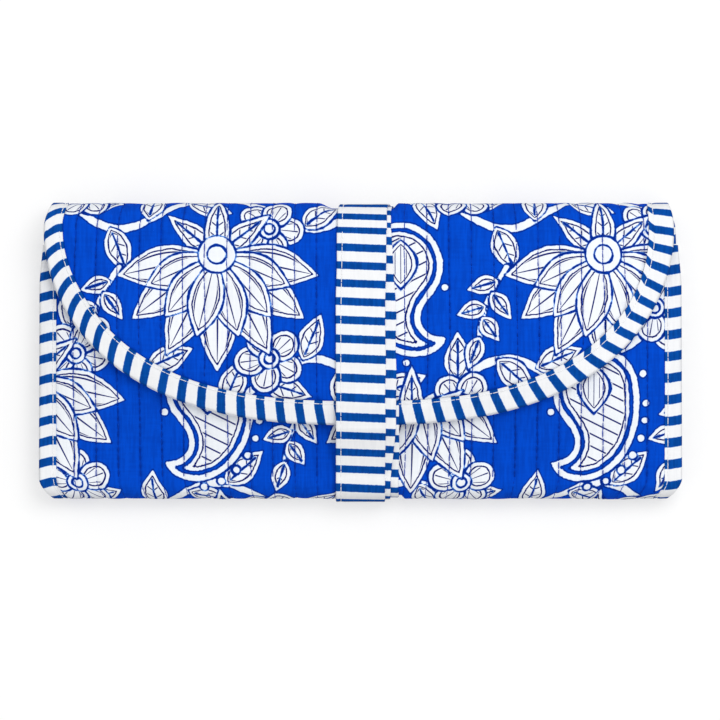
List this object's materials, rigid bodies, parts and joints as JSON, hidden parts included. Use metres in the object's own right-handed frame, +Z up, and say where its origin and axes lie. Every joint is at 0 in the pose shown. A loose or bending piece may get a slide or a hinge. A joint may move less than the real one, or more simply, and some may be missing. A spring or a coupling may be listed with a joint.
{
  "type": "jewelry roll",
  "caption": "Quilted cotton jewelry roll folded in three under a curved flap and wound shut with a striped tie; opens to a zip pocket, slip pockets and a ring bar.",
  "frame": {"origin": "centre of the closed roll's footprint, on the surface it rests on", "axes": "+X along the roll, +Y to the fold that the flap hangs from, +Z up out of the flap"},
  "size_m": [0.254, 0.118, 0.0316],
  "materials": {
    "print": "printed cotton, matte",
    "binding": "striped cotton bias tape, matte",
    "tie": "striped cotton, matte",
    "batting": "needled cotton batting",
    "lining": "plain cotton, matte",
    "tape": "woven zip tape",
    "coil": "nylon coil",
    "metal": "nickel plated"
  },
  "bodies": {
    "back": {"back_cover": "print", "back_batting": "batting", "back_lining": "lining", "back_binding_left": "binding", "back_binding_right": "binding", "back_slip_pocket": "lining", "ring_bar_tab": "lining", "snap_stud": "metal", "tie_back_inner": "tie", "tie_back_middle": "tie", "tie_tail": "tie", "top_fold_cover": "print", "top_fold_batting": "batting", "top_fold_lining": "lining", "top_fold_binding_left": "binding", "top_fold_binding_right": "binding", "tie_top_inner": "tie", "tie_top_middle": "tie", "bottom_fold_cover": "print", "bottom_fold_batting": "batting", "bottom_fold_lining": "lining", "bottom_fold_binding_left": "binding", "bottom_fold_binding_right": "binding", "tie_bottom_inner": "tie", "tie_bottom_middle": "tie", "tie_bottom_outer": "tie"},
    "front": {"front_cover": "print", "front_batting": "batting", "front_lining": "lining", "front_binding_left": "binding", "front_binding_right": "binding", "front_binding_top": "binding", "front_slip_pocket": "lining"},
    "flap": {"flap_cover": "print", "flap_batting": "batting", "flap_lining_lower": "lining", "flap_lining_upper": "lining", "flap_pocket_cloth": "lining", "flap_binding": "binding", "tie_front_inner": "tie", "tie_front_middle": "tie", "tie_front_outer": "tie", "zip_coil_lower": "coil", "zip_coil_upper": "coil", "zip_tape_lower": "tape", "zip_tape_upper": "tape"},
    "ring_bar": {"ring_bar": "lining", "snap_cap": "metal", "snap_socket": "metal"},
    "zip_slider": {"zip_slider": "metal"},
    "zip_pull": {"zip_pull": "metal"}
  },
  "joints": [
    {"name": "flap_fold", "type": "hinge", "parent": "back", "child": "flap", "pos_m": [0, 0.048, 0.011], "axis": [-1, 0, 0], "range_deg": [0, 170], "deforming": ["top_fold_cover", "top_fold_batting", "top_fold_lining", "top_fold_binding_left", "top_fold_binding_right", "tie_top_inner", "tie_top_middle"]},
    {"name": "front_fold", "type": "hinge", "parent": "back", "child": "front", "pos_m": [0, -0.04948, 0.0084], "axis": [1, 0, 0], "range_deg": [0, 22.5], "deforming": ["bottom_fold_cover", "bottom_fold_batting", "bottom_fold_lining", "bottom_fold_binding_left", "bottom_fold_binding_right", "tie_bottom_inner", "tie_bottom_middle", "tie_bottom_outer"]},
    {"name": "ring_bar_lift", "type": "hinge", "parent": "back", "child": "ring_bar", "pos_m": [-0.07515, 0.0466, 0.00954], "axis": [0, -1, 0], "range_deg": [0, 10.5]},
    {"name": "zip_slide", "type": "slide", "parent": "flap", "child": "zip_slider", "axis": [-1, 0, 0], "range_m": [0, 0.156]},
    {"name": "zip_pull_flip", "type": "hinge", "parent": "zip_slider", "child": "zip_pull", "pos_m": [0.0774, 0.03, 0.01833], "axis": [0, -0.9708, 0.2399], "range_deg": [0, 60]}
  ],
  "couplings": [
    {"joint": "front_fold", "follows": "flap_fold", "ratio": 0.13},
    {"joint": "ring_bar_lift", "follows": "flap_fold", "ratio": 0.06},
    {"joint": "zip_pull_flip", "follows": "flap_fold", "ratio": 0.35}
  ]
}
